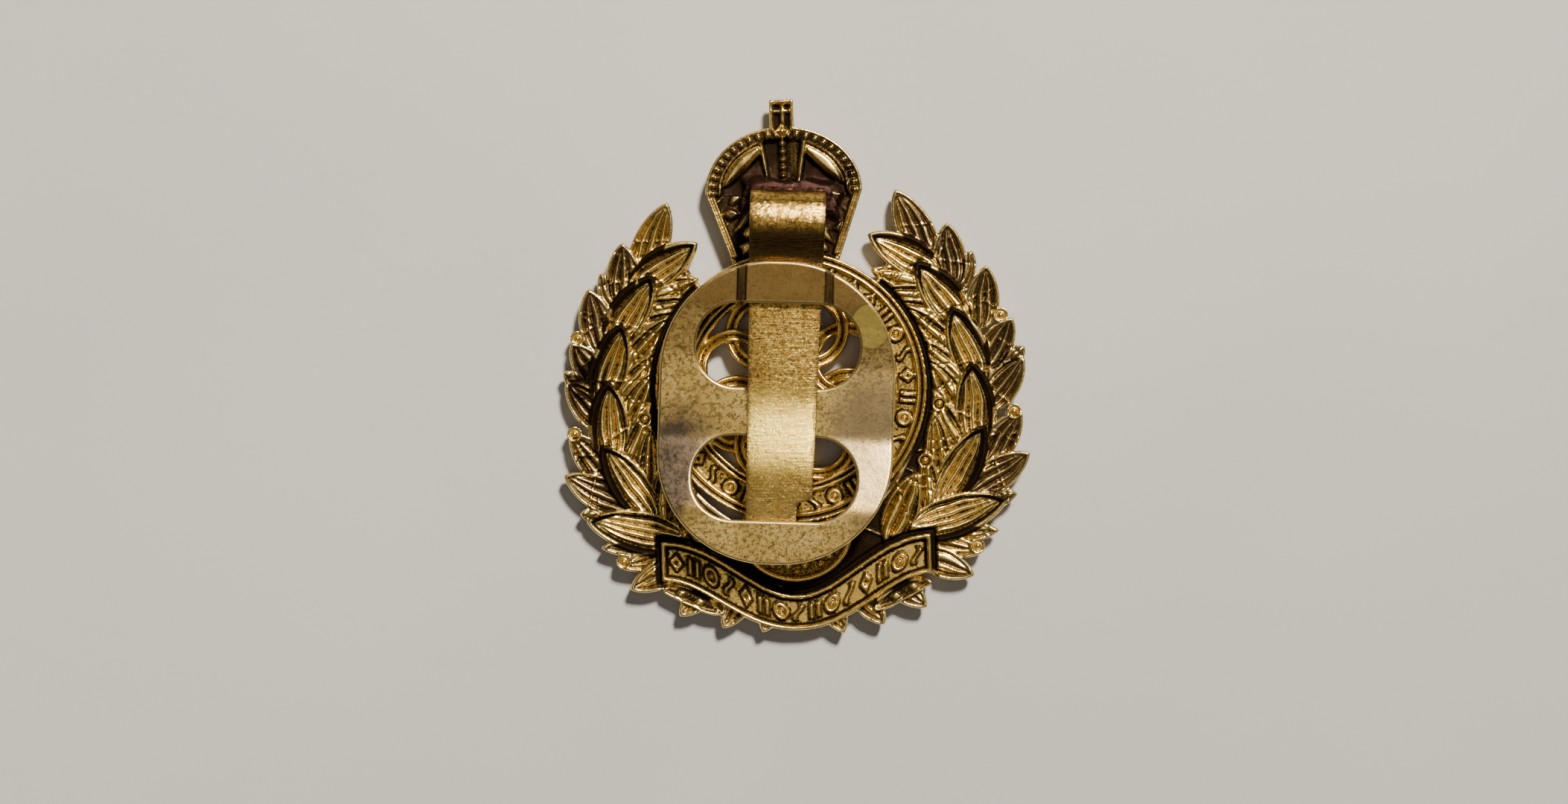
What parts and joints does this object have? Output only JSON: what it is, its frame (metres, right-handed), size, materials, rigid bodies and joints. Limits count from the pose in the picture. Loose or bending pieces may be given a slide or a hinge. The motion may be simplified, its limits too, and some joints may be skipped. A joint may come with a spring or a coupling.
{
  "type": "cap badge",
  "caption": "Struck metal cap badge lying on its face, with crown, wreath, pierced ring and ribbon, a strip slider on its back and a loose sliding plate that clamps the cloth.",
  "frame": {"origin": "centre of the footprint, at the level of the face's highest relief, which the badge lies on", "axes": "+X across the badge, to the right seen from behind; +Y towards the crown; +Z out of the badge's back"},
  "size_m": [0.0387, 0.0439, 0.0059],
  "materials": {
    "struck_brass": "struck gilding metal, darkened in its hollows and rubbed bright on its ridges",
    "slider_brass": "satin strip, finely scratched",
    "braze": "oxidised filler metal, dark purple-brown",
    "plate_brass": "mottled satin sheet with one grey patch"
  },
  "bodies": {
    "badge": {"badge_face": "struck_brass", "slider": "slider_brass", "slider_braze": "braze"},
    "plate": {"retaining_plate": "plate_brass"}
  },
  "joints": [
    {"name": "plate_slide", "type": "slide", "parent": "badge", "child": "plate", "axis": [-0.061, -0.9981, 0], "range_m": [0, 0.0195]}
  ]
}
